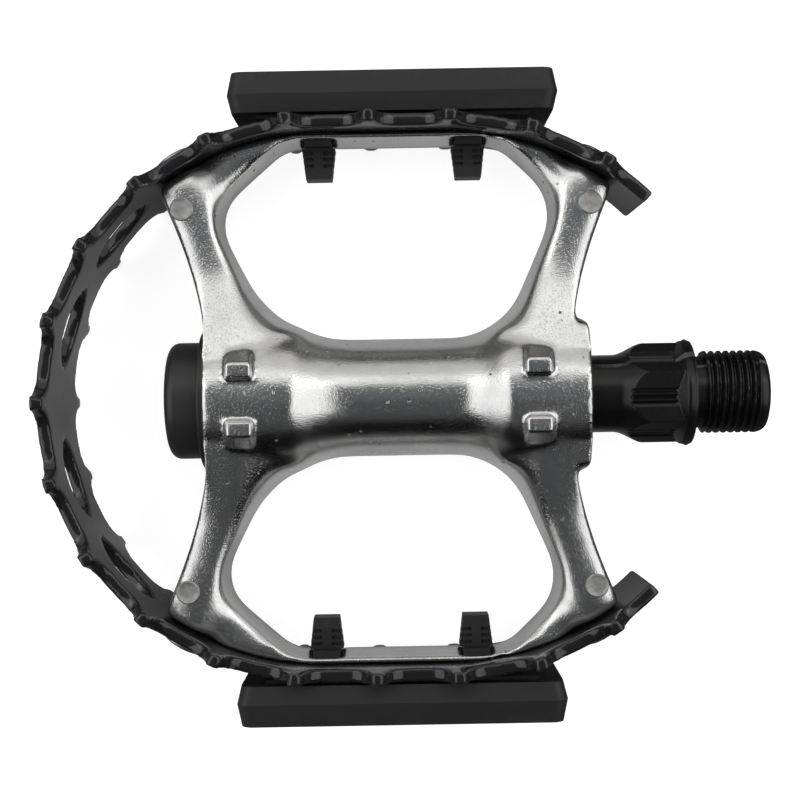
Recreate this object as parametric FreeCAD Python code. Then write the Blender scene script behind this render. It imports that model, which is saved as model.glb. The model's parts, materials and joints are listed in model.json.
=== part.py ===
"""Bear trap pedal: a cast body and a toothed steel cage that spin on loose balls about a fixed spindle.

Frame: X runs along the spindle and +X points at the crank, Y is the riding direction, Z is up.
The origin is on the spindle's axis, where the crank thread starts. All sizes are in millimetres.
"""
import FreeCAD
import Part
from FreeCAD import Vector

import math
import os

# Spindle, outside the body
thread_d = 14.2
thread_length = 9.9
thread_tip = 1.1
relief_d = 12.3
relief_length = 1.8
relief_r = 0.4
flange_d = 18.4
flange_length = 3.0
flange_edge = 0.8
flange_cone = 1.2
hex_across_flats = 15.0
hex_length = 8.0
hex_crown_d = 17.1
hex_crown_run = 2.0
hex_core_step = 0.4
hex_turn = 5.5
flare_length = 1.6
flare_r = 0.8
neck_d = 13.3
neck_showing = 5.4

# Cast body, along the spindle
body_length = 64.4
barrel_r = 9.4
inboard_boss_r = 13.2
inboard_boss_length = 14.0
outboard_boss_r = 12.9
outboard_boss_length = 14.9
boss_slope = 5.8
boss_shoulder_r = 3.0
outboard_hollow_r = 20.0
inboard_hollow_r = 10.0
boss_edge = 0.5
through_bore_r = 6.6

# Cast body, arms and rails
frame_half_height = 5.6
arm_half_height = 6.9
arm_width = 6.4
arm_slope_run = 1.2
arm_bow = 0.42
arm_blend_r = 60.0
arm_root_sink = 0.2
arm_edge_r = 0.35
ridge_r = 1.2
slope_foot_r = 2.0
tip_drop = 12.8
outboard_arm_root_y = 13.0
outboard_tip_reach = 6.7
inboard_arm_setback = 2.4
inboard_arm_root_y = 13.5
inboard_tip_reach = 4.0
rail_thickness = 1.8

# Windows: corner places are counted from the body's two ends and from the rail
web_half_width = 10.5
wall_draft = 0.8
outboard_web_at = 12.1
outboard_web_r = 19.8
outboard_corner_at = 1.1
outboard_corner_drop = 11.1
outboard_corner_r = 7.5
outboard_rail_at = 14.1
inboard_web_at = 14.2
inboard_web_r = 13.3
inboard_corner_at = 4.0
inboard_corner_drop = 9.8
inboard_corner_r = 9.0
inboard_rail_at = 14.5
rail_corner_r = 8.0
rim_r = 0.3

# Grip lugs on the bosses
lug_top_width = 4.4
lug_top_length = 2.4
lug_below_teeth = 0.3
lug_foot = 5.4
lug_inner_y = 3.6
lug_ramp_run = 4.0
lug_wall_lean = 0.8
outboard_lug_inset = 6.2
inboard_lug_inset = 8.9
lug_edge_r = 0.4

# Ejector marks on the arm tips
mark_r = 2.0
mark_height = 0.15
mark_drop = 13.9

# Cage: one toothed strip bent round the nose and both sides
cage_thickness = 2.2
cage_half_height = 14.0
cage_half_width = 46.1
cage_straight = 21.6
cage_bend_r = 48.0
cage_nose_to_body = 26.8
tooth_pitch = 13.55
tooth_steps = 9
tooth_width = 2.3
tooth_depth = 4.2
tooth_root_r = 3.8
tooth_tip_r = 0.4
cage_end_run = 9.3
cage_seat_gap = 0.05
aperture_length = 14.0
aperture_height = 10.0
aperture_runs = (13.55, 32.3)

# Cage screws
screw_r = 2.0
screw_inset = 2.4
screw_length = 6.0
screw_bottom_gap = 0.6
screw_head_r = 3.6
screw_head_height = 1.8
screw_head_edge = 0.6
screw_hole_gap = 0.15
screw_thread_gap = 0.02
recess_length = 4.0
recess_width = 0.9
recess_depth = 0.9

# Reflectors
reflector_length = 55.4
reflector_half_height = 9.5
reflector_depth = 7.4
reflector_parting = 3.6
reflector_draft = 0.7
reflector_corner_r = 2.0
reflector_gap = 0.05
pad_length = 46.0
pad_half_height = 6.5
pad_thickness = 0.6
lens_border = 1.6
lens_pocket = 1.6
lens_thickness = 1.4
lens_gap = 0.05
post_half_spacing = 12.8
tongue_width = 4.6
tongue_half_height = 4.2
tongue_gap = 0.1
tongue_past_rail = 0.3
post_base_width = 5.7
post_tip_width = 4.4
post_half_height = 2.0
post_length = 5.3
post_spine_width = 1.6
notch_count = 3
notch_width = 0.55
notch_pitch = 1.1
notch_depth = 0.6

# Bearings
race_gap = 0.05
race_lip = 0.2
inboard_ball_r = 1.984
inboard_ball_circle_r = 7.6
inboard_ball_count = 11
inboard_ball_setback = 7.4
inboard_cup_r = 10.6
outboard_ball_r = 1.5875
outboard_ball_circle_r = 6.4
outboard_ball_count = 12
outboard_ball_setback = 9.4
outboard_cup_r = 9.4
cup_floor = 1.1
cup_mouth = 2.6
cup_fit = 0.02
seal_thickness = 2.4
seal_gap = 0.3
seal_fit = 0.03

# Spindle, inside the body, and what is screwed on its end
spindle_waist_r = 4.9
spindle_shoulder_run = 12.0
spindle_end_r = 4.0
spindle_end_edge = 0.6
spindle_past_nut = 0.8
nut_fit = 0.02
cone_nose = 1.2
cone_length = 6.2
cone_edge = 0.4
washer_r = 6.6
washer_thickness = 1.0
locknut_across_flats = 12.0
locknut_height = 4.4

# Dust cap
cap_r = 10.0
cap_height = 6.8
cap_edge = 1.8
cap_flange_r = 11.9
cap_flange = 1.05
cap_flange_edge = 0.4
cap_wall = 1.3
cap_hollow_r = 0.8
cap_skirt_length = 3.2
cap_fit = 0.03

# How far a cutter runs past what it cuts, and how near two places count as the same
overrun = 1.0
same = 1e-4

# Places along the spindle
shoulder_x = -relief_length
flange_x = shoulder_x - flange_length
hex_x = flange_x - hex_length
neck_x = hex_x - flare_length
body_in_x = neck_x - neck_showing
body_out_x = body_in_x - body_length
body_mid_x = (body_in_x + body_out_x) / 2
inboard_ball_x = body_in_x - inboard_ball_setback
outboard_ball_x = body_out_x + outboard_ball_setback
cone_nose_x = outboard_ball_x + cone_nose
cone_back_x = cone_nose_x - cone_length
washer_back_x = cone_back_x - washer_thickness
locknut_back_x = washer_back_x - locknut_height
spindle_end_x = locknut_back_x - spindle_past_nut

# Grooves that the balls run in
inboard_groove = inboard_ball_r + race_gap
outboard_groove = outboard_ball_r + race_gap

# Places in plan
cage_nose_x = body_out_x - cage_nose_to_body
nose_centre_x = cage_nose_x + cage_half_width
bend_x = nose_centre_x + cage_straight
bend_centre_y = cage_half_width - cage_bend_r
nose_run = cage_half_width * math.pi / 2
bend_run = nose_run + cage_straight
cage_half_run = tooth_steps * tooth_pitch + cage_end_run
cage_outer_y = cage_half_width + cage_thickness / 2
rail_outer_y = cage_half_width - cage_thickness / 2 - cage_seat_gap
rail_inner_y = rail_outer_y - rail_thickness
outboard_tip_x = body_out_x - outboard_tip_reach
inboard_tip_x = body_in_x + inboard_tip_reach
reflector_x = body_mid_x
reflector_back_y = cage_outer_y + reflector_gap

# The screws sit on the cage outside the end of each arm
outboard_screw_x = outboard_tip_x + screw_inset
inboard_screw_x = inboard_tip_x - screw_inset
outboard_screw_run = cage_half_width * math.acos((nose_centre_x - outboard_screw_x) / cage_half_width)
inboard_screw_run = bend_run + cage_bend_r * math.asin((inboard_screw_x - bend_x) / cage_bend_r)
screw_runs = {
    "front_outboard": outboard_screw_run,
    "front_inboard": inboard_screw_run,
    "rear_outboard": -outboard_screw_run,
    "rear_inboard": -inboard_screw_run,
}

ORIGIN = Vector(0, 0, 0)
X_AXIS = Vector(1, 0, 0)
Y_AXIS = Vector(0, 1, 0)
Z_AXIS = Vector(0, 0, 1)


def polygon(points):
    """A flat face with straight sides."""
    return Part.Face(Part.makePolygon(points + [points[0]]))


def line(start, end):
    return Part.LineSegment(start, end).toShape()


def closed(edges):
    """One closed wire from edges in any order."""
    return Part.Wire(Part.__sortEdges__(edges))


def rounded_wire(corners, z=0):
    """A closed outline of straight runs, with a tangent arc at each (x, y, radius) corner."""
    ends = []
    edges = []
    for i, (x, y, r) in enumerate(corners):
        here = Vector(x, y, z)
        before = Vector(*corners[i - 1][:2], z) - here
        after = Vector(*corners[(i + 1) % len(corners)][:2], z) - here
        if r == 0:
            ends.append((here, here))
            continue
        before.normalize()
        after.normalize()
        half = before.getAngle(after) / 2
        bisector = before + after
        bisector.normalize()
        reach = r / math.tan(half)
        middle = here + bisector * (r / math.sin(half) - r)
        ends.append((here + before * reach, here + after * reach))
        edges.append(Part.Arc(ends[-1][0], middle, ends[-1][1]).toShape())
    for i, (_, leave) in enumerate(ends):
        arrive = ends[(i + 1) % len(ends)][0]
        if (arrive - leave).Length > same:
            edges.append(line(leave, arrive))
    return closed(edges)


def prism(wire, half_height):
    """The solid over a flat outline, as far below z = 0 as above it."""
    face = Part.Face(wire)
    face.translate(Vector(0, 0, -half_height))
    return face.extrude(Vector(0, 0, 2 * half_height))


def turned(corners):
    """The solid that an outline of (x, radius, corner radius) points sweeps round the spindle's axis."""
    return Part.Face(rounded_wire(corners)).revolve(ORIGIN, X_AXIS, 360)


def hexagon_bar(across_flats, x0, x1):
    """A hexagonal bar along the spindle's axis, turned a little from flats that face up and down."""
    corner_r = across_flats / math.sqrt(3)
    corners = []
    for i in range(6):
        a = math.radians(60 * i + hex_turn)
        corners.append(Vector(x0, corner_r * math.cos(a), corner_r * math.sin(a)))
    return polygon(corners).extrude(Vector(x1 - x0, 0, 0))


def front_and_rear(shape):
    """A shape with its mirror image behind the spindle."""
    return [shape, shape.mirror(ORIGIN, Y_AXIS)]


def cage_place(run):
    """The strip's middle point and outward normal at a distance from the nose, positive to the front."""
    side = 1 if run >= 0 else -1
    run = abs(run)
    if run <= nose_run:
        a = run / cage_half_width
        out = Vector(-math.cos(a), math.sin(a), 0)
        point = Vector(nose_centre_x, 0, 0) + out * cage_half_width
    elif run <= bend_run:
        out = Vector(0, 1, 0)
        point = Vector(nose_centre_x + run - nose_run, cage_half_width, 0)
    else:
        a = (run - bend_run) / cage_bend_r
        out = Vector(math.sin(a), math.cos(a), 0)
        point = Vector(bend_x, bend_centre_y, 0) + out * cage_bend_r
    out.y *= side
    point.y *= side
    return point, out


def cage_path(offset):
    """The strip's path moved outward by an offset, as five edges from the rear end round to the front end."""
    spots = []
    half_bend = (cage_half_run + bend_run) / 2
    for run in (cage_half_run, half_bend, bend_run, nose_run):
        point, out = cage_place(run)
        spots.append(point + out * offset)
    point, out = cage_place(0)
    nose = point + out * offset
    end, bend, start, turn = spots
    rear_end, rear_bend, rear_start, rear_turn = [Vector(p.x, -p.y, p.z) for p in spots]
    return [
        Part.Arc(rear_end, rear_bend, rear_start).toShape(),
        line(rear_start, rear_turn),
        Part.Arc(rear_turn, nose, turn).toShape(),
        line(turn, start),
        Part.Arc(start, bend, end).toShape(),
    ]


def path_ends(edges):
    """The rear and the front end of a path."""
    return edges[0].Vertexes[0].Point, edges[-1].Vertexes[-1].Point


def across_strip(wire, run):
    """A cutter through the strip from an outline drawn in (along, height)."""
    point, out = cage_place(run)
    reach = 2 * cage_thickness
    along = out.cross(Z_AXIS)
    start = point + out * reach
    stand_up = FreeCAD.Matrix(
        along.x, 0, -out.x, start.x,
        along.y, 0, -out.y, start.y,
        0, 1, 0, 0,
        0, 0, 0, 1,
    )
    return Part.Face(wire).extrude(Vector(0, 0, 2 * reach)).transformed(stand_up)


def out_of_cage(shape, run):
    """A shape made about +Z, pointed outward through the strip, with its z = 0 in the strip's middle."""
    point, out = cage_place(run)
    shape.Placement = FreeCAD.Placement(point, FreeCAD.Rotation(Z_AXIS, out))
    return shape


def tooth_gap(sign):
    """The gap between two teeth, with round roots and tips, on the upper or the lower edge."""
    half = (tooth_pitch - tooth_width) / 2
    brow = half + tooth_tip_r
    floor = sign * (cage_half_height - tooth_depth)
    tip = sign * cage_half_height
    past = sign * (cage_half_height + overrun)
    return rounded_wire([
        (-brow, past, 0),
        (-brow, tip, 0),
        (-half, tip, tooth_tip_r),
        (-half, floor, tooth_root_r),
        (half, floor, tooth_root_r),
        (half, tip, tooth_tip_r),
        (brow, tip, 0),
        (brow, past, 0),
    ])


def aperture():
    """An eye: two arcs that meet in points."""
    left = Vector(-aperture_length / 2, 0, 0)
    right = Vector(aperture_length / 2, 0, 0)
    upper = Part.Arc(left, Vector(0, aperture_height / 2, 0), right).toShape()
    lower = Part.Arc(right, Vector(0, -aperture_height / 2, 0), left).toShape()
    return Part.Wire([upper, lower])


def tongue_slots():
    """The openings that the reflectors' tongues pass through, in the cage and in the body's rails."""
    width = tongue_width + 2 * tongue_gap
    height = 2 * (tongue_half_height + tongue_gap)
    depth = cage_outer_y - rail_inner_y + 2 * overrun
    slots = []
    for x in (reflector_x - post_half_spacing, reflector_x + post_half_spacing):
        low = Vector(x - width / 2, rail_inner_y - overrun, -height / 2)
        slots += front_and_rear(Part.makeBox(width, depth, height, low))
    return slots


def make_cage():
    outer = cage_path(cage_thickness / 2)
    inner = cage_path(-cage_thickness / 2)
    ends = [line(a, b) for a, b in zip(path_ends(outer), path_ends(inner))]
    strip = prism(closed(outer + inner + ends), cage_half_height)
    cutters = tongue_slots()
    for step in range(-tooth_steps - 1, tooth_steps + 1):
        for sign in (1, -1):
            cutters.append(across_strip(tooth_gap(sign), (step + 0.5) * tooth_pitch))
    for run in aperture_runs:
        cutters.append(across_strip(aperture(), run))
        cutters.append(across_strip(aperture(), -run))
    for run in screw_runs.values():
        hole = Part.makeCylinder(screw_r + screw_hole_gap, 2 * cage_thickness, Vector(0, 0, -cage_thickness))
        cutters.append(out_of_cage(hole, run))
    return strip.cut(cutters)


def front_arms():
    """Each front arm's outer edge, as the centre and radius of its arc, with its boss and its way inward."""
    tip_y = cage_half_width - tip_drop
    for root_x, root_y, tip_x, boss_r, inward in (
        (body_out_x, outboard_arm_root_y, outboard_tip_x, outboard_boss_r, 1),
        (body_in_x - inboard_arm_setback, inboard_arm_root_y, inboard_tip_x, inboard_boss_r, -1),
    ):
        root = Vector(root_x, root_y, 0)
        middle = Vector(root_x + arm_bow * (tip_x - root_x), (root_y + tip_y) / 2, 0)
        arc = Part.Arc(root, middle, Vector(tip_x, tip_y, 0)).toShape().Curve
        yield arc.Center, arc.Radius, boss_r, inward


def front_plan(half_height):
    """The front half of the body's plan: inside the cage and between the arms' outer edges."""
    seat = cage_path(-cage_thickness / 2 - cage_seat_gap)
    rear_end, front_end = path_ends(seat)
    inside_cage = prism(closed(seat + [line(front_end, rear_end)]), half_height)
    low = Vector(body_mid_x - body_length, 0, -half_height)
    front = Part.makeBox(2 * body_length, cage_outer_y, 2 * half_height, low)
    outside = []
    for centre, radius, _, _ in front_arms():
        outside.append(Part.makeCylinder(radius, 2 * half_height, centre - Z_AXIS * half_height))
    return inside_cage.common(front).cut(outside)


def arm_side_view(boss_r):
    """What an arm may fill, seen along the spindle: level, then in a hollow curve up to its boss."""
    root_r = boss_r - arm_root_sink
    curve_z = arm_half_height + arm_blend_r
    curve_y = math.sqrt((root_r + arm_blend_r)**2 - curve_z**2)
    lean = math.atan2(curve_y, curve_z)
    edges = []
    for sign in (1, -1):
        root = Vector(0, root_r * math.sin(lean), sign * root_r * math.cos(lean))
        middle_y = curve_y - arm_blend_r * math.sin(lean / 2)
        middle = Vector(0, middle_y, sign * (curve_z - arm_blend_r * math.cos(lean / 2)))
        level = Vector(0, curve_y, sign * arm_half_height)
        end = Vector(0, cage_outer_y, sign * arm_half_height)
        edges += [line(ORIGIN, root), Part.Arc(root, middle, level).toShape(), line(level, end)]
        edges.append(line(end, Vector(0, cage_outer_y, 0)))
    face = Part.Face(closed(edges))
    face.translate(Vector(body_mid_x - body_length, 0, 0))
    return face.extrude(Vector(2 * body_length, 0, 0))


def arm_strip(centre, radius, boss_r, inward):
    """A raised strip along an arm's outer edge, level as far as its ridge, then sloped down to the web."""
    run = arm_slope_run / (arm_half_height - frame_half_height)
    low = 2 * frame_half_height - arm_half_height
    high_r = radius + arm_width - run * (boss_r - arm_half_height)
    low_r = radius + arm_width + run * (arm_half_height - low)
    upper = [(radius, boss_r), (high_r, boss_r), (low_r, low)]
    lower = [(r, -z) for r, z in reversed(upper)]
    section = polygon([centre + Vector(inward * r, 0, z) for r, z in upper + lower])
    return section.revolve(centre, Z_AXIS, 360).common(arm_side_view(boss_r))


def edges_between(shape, first, second):
    """The edges where a face of the first kind meets one of the second."""
    found = []
    for edge in shape.Edges:
        faces = shape.ancestorsOfType(edge, Part.Face)
        if len(faces) == 2:
            a, b = faces
            if (first(a) and second(b)) or (first(b) and second(a)):
                found.append(edge)
    return found


def upright(face):
    """Whether a round face stands along Z."""
    return abs(face.Surface.Axis.z) > same


def is_level(face, height):
    return isinstance(face.Surface, Part.Plane) and abs(abs(face.CenterOfMass.z) - height) < same


def is_arm_top(face):
    if isinstance(face.Surface, Part.Cylinder):
        return not upright(face)
    return is_level(face, arm_half_height)


def is_arm_side(face):
    return isinstance(face.Surface, Part.Cylinder) and upright(face)


def is_slope(face):
    return isinstance(face.Surface, Part.Cone)


def is_web(face):
    return is_level(face, frame_half_height)


def is_window_wall(face):
    box = face.BoundBox
    return isinstance(face.Surface, Part.BSplineSurface) and min(abs(box.ZMin), abs(box.ZMax)) < same


def is_outside_window(face):
    return not is_window_wall(face)


def window_outline(grow, web_y, z):
    """The front window: straight runs along the barrel, the arms, two corners and the rail."""
    rail_y = rail_inner_y + grow
    return rounded_wire([
        (body_out_x + outboard_web_at, web_y, outboard_web_r),
        (body_out_x + outboard_corner_at - grow, rail_inner_y - outboard_corner_drop, outboard_corner_r),
        (body_out_x + outboard_rail_at - grow, rail_y, rail_corner_r),
        (body_in_x - inboard_rail_at + grow, rail_y, rail_corner_r),
        (body_in_x - inboard_corner_at + grow, rail_inner_y - inboard_corner_drop, inboard_corner_r),
        (body_in_x - inboard_web_at, web_y, inboard_web_r),
    ], z)


def front_window():
    """The front window's upper and lower half, narrowest at mid height and sloped against the barrel."""
    reach = inboard_boss_r / frame_half_height
    barrel_y = math.sqrt(barrel_r**2 - frame_half_height**2)
    brim_y = web_half_width - (web_half_width - barrel_y) * reach
    waist = window_outline(0, web_half_width, 0)
    halves = []
    for z in (inboard_boss_r, -inboard_boss_r):
        halves.append(Part.makeLoft([waist, window_outline(wall_draft * reach, brim_y, z)], True, True))
    return halves


def front_frame():
    """The front arms, web and rail, with soft ridges and edges, and the window cut out of them."""
    tall = front_plan(inboard_boss_r)
    strips = [arm_strip(*arm).common(tall) for arm in front_arms()]
    frame = front_plan(frame_half_height).fuse(strips).removeSplitter()
    frame = frame.makeFillet(ridge_r, edges_between(frame, is_slope, is_arm_top))
    frame = frame.makeFillet(slope_foot_r, edges_between(frame, is_slope, is_web))
    frame = frame.makeFillet(arm_edge_r, edges_between(frame, is_arm_side, is_arm_top))
    frame = frame.cut(front_window())
    return frame.makeFillet(rim_r, edges_between(frame, is_window_wall, is_outside_window))


def make_barrel():
    """The tube between the arms, with a boss at each end."""
    outboard_foot = body_out_x + outboard_boss_length
    inboard_foot = body_in_x - inboard_boss_length
    return turned([
        (body_out_x, 0, 0),
        (body_out_x, outboard_boss_r, boss_edge),
        (outboard_foot, outboard_boss_r, boss_shoulder_r),
        (outboard_foot + boss_slope, barrel_r, outboard_hollow_r),
        (inboard_foot - boss_slope, barrel_r, inboard_hollow_r),
        (inboard_foot, inboard_boss_r, boss_shoulder_r),
        (body_in_x, inboard_boss_r, boss_edge),
        (body_in_x, 0, 0),
    ])


def make_bore():
    """What is taken out along the spindle: the cap's seat, two cup seats and the bore between them."""
    cap_seat_x = body_out_x + cap_skirt_length
    outboard_seat_x = outboard_ball_x + outboard_groove + cup_floor
    inboard_seat_x = inboard_ball_x - inboard_groove - cup_floor
    return turned([
        (body_out_x - overrun, 0, 0),
        (body_out_x - overrun, cap_r + cap_fit, 0),
        (cap_seat_x, cap_r + cap_fit, 0),
        (cap_seat_x, outboard_cup_r + cup_fit, 0),
        (outboard_seat_x, outboard_cup_r + cup_fit, 0),
        (outboard_seat_x, through_bore_r, 0),
        (inboard_seat_x, through_bore_r, 0),
        (inboard_seat_x, inboard_cup_r + cup_fit, 0),
        (body_in_x + overrun, inboard_cup_r + cup_fit, 0),
        (body_in_x + overrun, 0, 0),
    ])


def make_lug(x):
    """A grip lug on a boss, nearly as high as the teeth: steep towards the axis, with a long ramp outward."""
    half = lug_top_width / 2
    outer_y = lug_inner_y + lug_top_length
    top = cage_half_height - lug_below_teeth
    foot = top - lug_foot
    crest = [
        Vector(x - half, lug_inner_y, top),
        Vector(x + half, lug_inner_y, top),
        Vector(x + half, outer_y, top),
        Vector(x - half, outer_y, top),
    ]
    root = [
        Vector(x - half - lug_wall_lean, lug_inner_y - lug_wall_lean, foot),
        Vector(x + half + lug_wall_lean, lug_inner_y - lug_wall_lean, foot),
        Vector(x + half, outer_y + lug_ramp_run, foot),
        Vector(x - half, outer_y + lug_ramp_run, foot),
    ]
    lug = Part.makeLoft([polygon(root).OuterWire, polygon(crest).OuterWire], True, True)
    return lug.makeFillet(lug_edge_r, [edge for edge in lug.Edges if edge.BoundBox.ZMax > foot + lug_edge_r])


def make_lugs():
    """Four lugs on the upper side and four on the lower."""
    lugs = []
    for x in (body_out_x + outboard_lug_inset, body_in_x - inboard_lug_inset):
        for lug in front_and_rear(make_lug(x)):
            lugs += [lug, lug.mirror(ORIGIN, Z_AXIS)]
    return lugs


def make_marks():
    """The round marks that the casting's ejector pins leave on the upper side of the arm tips."""
    marks = []
    for x in (outboard_tip_x + arm_width / 2, inboard_tip_x - arm_width / 2):
        low = Vector(x, cage_half_width - mark_drop, 0)
        marks += front_and_rear(Part.makeCylinder(mark_r, arm_half_height + mark_height, low))
    return marks


def make_body():
    solids = front_and_rear(front_frame()) + [make_barrel()] + make_lugs() + make_marks()
    cutters = tongue_slots() + [make_bore()]
    depth = screw_length + screw_bottom_gap
    for run in screw_runs.values():
        hole = Part.makeCylinder(screw_r + screw_thread_gap, depth, Vector(0, 0, -depth))
        cutters.append(out_of_cage(hole, run))
    return solids[0].fuse(solids[1:]).cut(cutters).removeSplitter()


def make_spindle():
    """The axle, from its nut end through the waist, the inboard race and the hexagon to the crank thread."""
    groove_x = inboard_ball_x + inboard_groove
    groove_bottom = inboard_ball_circle_r - inboard_groove
    collar_r = inboard_ball_circle_r + race_lip
    collar_x = body_in_x - seal_thickness - seal_gap
    core_r = hex_across_flats / 2 - hex_core_step
    tip_x = thread_length + thread_tip
    axle = turned([
        (spindle_end_x, 0, 0),
        (spindle_end_x, spindle_end_r, spindle_end_edge),
        (cone_nose_x, spindle_end_r, 0),
        (cone_nose_x, spindle_waist_r, 0),
        (groove_x - spindle_shoulder_run, groove_bottom, 0),
        (groove_x, groove_bottom, inboard_groove),
        (groove_x, collar_r, 0),
        (collar_x, collar_r, 0),
        (collar_x, neck_d / 2, 0),
        (neck_x, neck_d / 2, flare_r),
        (hex_x, core_r, 0),
        (flange_x, core_r, 0),
        (flange_x + flange_cone, flange_d / 2, flange_edge),
        (shoulder_x, flange_d / 2, flange_edge),
        (shoulder_x, relief_d / 2, relief_r),
        (0, relief_d / 2, 0),
        (0, thread_d / 2, 0),
        (thread_length, thread_d / 2, 0),
        (tip_x, thread_d / 2 - thread_tip, 0),
        (tip_x, 0, 0),
    ])
    crown = turned([
        (hex_x, 0, 0),
        (hex_x, core_r, 0),
        (hex_x + hex_crown_run, hex_crown_d / 2, 0),
        (flange_x + flange_cone, hex_crown_d / 2, 0),
        (flange_x + flange_cone, 0, 0),
    ])
    flats = hexagon_bar(hex_across_flats, hex_x, flange_x + flange_cone)
    return axle.fuse(flats.common(crown)).removeSplitter()


def make_cup(ball_x, circle_r, groove, outer_r, mouth_side):
    """A bearing cup in the body: a floor, and a wall that opens towards its end of the body."""
    floor_x = ball_x - mouth_side * groove
    back_x = floor_x - mouth_side * cup_floor
    mouth_x = ball_x + mouth_side * cup_mouth
    return turned([
        (back_x, circle_r, 0),
        (back_x, outer_r, 0),
        (mouth_x, outer_r, 0),
        (mouth_x, circle_r + groove, 0),
        (floor_x, circle_r + groove, groove),
        (floor_x, circle_r, 0),
    ])


def make_inboard_cup():
    return make_cup(inboard_ball_x, inboard_ball_circle_r, inboard_groove, inboard_cup_r, 1)


def make_outboard_cup():
    return make_cup(outboard_ball_x, outboard_ball_circle_r, outboard_groove, outboard_cup_r, -1)


def make_cone():
    """The nut that the outboard balls run on."""
    bore_r = spindle_end_r + nut_fit
    groove_x = outboard_ball_x - outboard_groove
    lip_r = outboard_ball_circle_r + race_lip
    return turned([
        (cone_nose_x, bore_r, 0),
        (cone_back_x, bore_r, 0),
        (cone_back_x, lip_r, cone_edge),
        (groove_x, lip_r, 0),
        (groove_x, outboard_ball_circle_r - outboard_groove, outboard_groove),
        (cone_nose_x, outboard_ball_circle_r - outboard_groove, 0),
    ])


def make_lock_washer():
    bore_r = spindle_end_r + nut_fit
    return turned([
        (washer_back_x, bore_r, 0),
        (washer_back_x, washer_r, 0),
        (cone_back_x, washer_r, 0),
        (cone_back_x, bore_r, 0),
    ])


def make_locknut():
    bore = Part.makeCylinder(spindle_end_r + nut_fit, locknut_height, Vector(locknut_back_x, 0, 0), X_AXIS)
    return hexagon_bar(locknut_across_flats, locknut_back_x, washer_back_x).cut(bore)


def ball_ring(x, circle_r, r, count):
    """Loose balls, evenly spread round the spindle."""
    balls = []
    for i in range(count):
        a = 2 * math.pi * i / count
        balls.append(Part.makeSphere(r, Vector(x, circle_r * math.cos(a), circle_r * math.sin(a))))
    return Part.makeCompound(balls)


def make_inboard_balls():
    return ball_ring(inboard_ball_x, inboard_ball_circle_r, inboard_ball_r, inboard_ball_count)


def make_outboard_balls():
    return ball_ring(outboard_ball_x, outboard_ball_circle_r, outboard_ball_r, outboard_ball_count)


def make_inboard_seal():
    inner_r = neck_d / 2 + seal_gap
    outer_r = inboard_cup_r + cup_fit - seal_fit
    return turned([
        (body_in_x - seal_thickness, inner_r, 0),
        (body_in_x - seal_thickness, outer_r, 0),
        (body_in_x, outer_r, 0),
        (body_in_x, inner_r, 0),
    ])


def make_dust_cap():
    """A hollow cap with a flange against the body and a skirt pushed into its seat."""
    end_x = body_out_x - cap_height
    flange_face_x = body_out_x - cap_flange
    skirt_x = body_out_x + cap_skirt_length
    hollow_r = cap_r - cap_wall
    return turned([
        (end_x, 0, 0),
        (end_x, cap_r, cap_edge),
        (flange_face_x, cap_r, 0),
        (flange_face_x, cap_flange_r, cap_flange_edge),
        (body_out_x, cap_flange_r, 0),
        (body_out_x, cap_r, 0),
        (skirt_x, cap_r, 0),
        (skirt_x, hollow_r, 0),
        (end_x + cap_wall, hollow_r, cap_hollow_r),
        (end_x + cap_wall, 0, 0),
    ])


def make_screw(run):
    """A low round-headed screw with a cross recess, from outside the cage into an arm's tip."""
    seat = cage_thickness / 2
    top = seat + screw_head_height
    shank = Part.makeCylinder(screw_r, screw_length + seat, Vector(0, 0, -screw_length))
    head = Part.makeCylinder(screw_head_r, screw_head_height, Vector(0, 0, seat))
    rim = [edge for edge in head.Edges if edge.BoundBox.ZMin > seat]
    head = head.makeFillet(screw_head_edge, rim)
    cross = []
    for length, width in ((recess_length, recess_width), (recess_width, recess_length)):
        low = Vector(-length / 2, -width / 2, top - recess_depth)
        cross.append(Part.makeBox(length, width, recess_depth + overrun, low))
    return out_of_cage(shank.fuse(head).cut(cross), run)


def reflector_outline(inset, away):
    """The reflector's rounded rectangle, moved inward by an inset, at a distance outward from its back."""
    half_length = reflector_length / 2 - inset
    half_height = reflector_half_height - inset
    return rounded_wire([
        (-half_length, -half_height, reflector_corner_r),
        (half_length, -half_height, reflector_corner_r),
        (half_length, half_height, reflector_corner_r),
        (-half_length, half_height, reflector_corner_r),
    ], away)


def on_front(shape):
    """A shape drawn flat, with +Z outward, stood up against the cage's front face."""
    shape.rotate(ORIGIN, X_AXIS, -90)
    shape.translate(Vector(reflector_x, reflector_back_y, 0))
    return shape


def make_post(x):
    """A tongue that fills its slot, then a tapered barb behind the rail with notches beside a plain spine."""
    tongue_length = reflector_back_y - rail_inner_y + tongue_past_rail
    low = Vector(x - tongue_width / 2, -tongue_half_height, -tongue_length)
    tongue = Part.makeBox(tongue_width, 2 * tongue_half_height, tongue_length + pad_thickness, low)
    tip_z = -tongue_length - post_length
    barb = polygon([
        Vector(x - post_base_width / 2, -post_half_height, -tongue_length),
        Vector(x + post_base_width / 2, -post_half_height, -tongue_length),
        Vector(x + post_tip_width / 2, -post_half_height, tip_z),
        Vector(x - post_tip_width / 2, -post_half_height, tip_z),
    ]).extrude(Vector(0, 2 * post_half_height, 0))
    notches = []
    for i in range(notch_count):
        z = -tongue_length - (i + 1) * notch_pitch
        for start in (x + post_spine_width / 2, x - post_spine_width / 2 - post_base_width):
            for y in (post_half_height - notch_depth, -post_half_height - overrun):
                size = (post_base_width, notch_depth + overrun, notch_width)
                notches.append(Part.makeBox(*size, Vector(start, y, z)))
    return tongue.fuse(barb.cut(notches))


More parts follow.
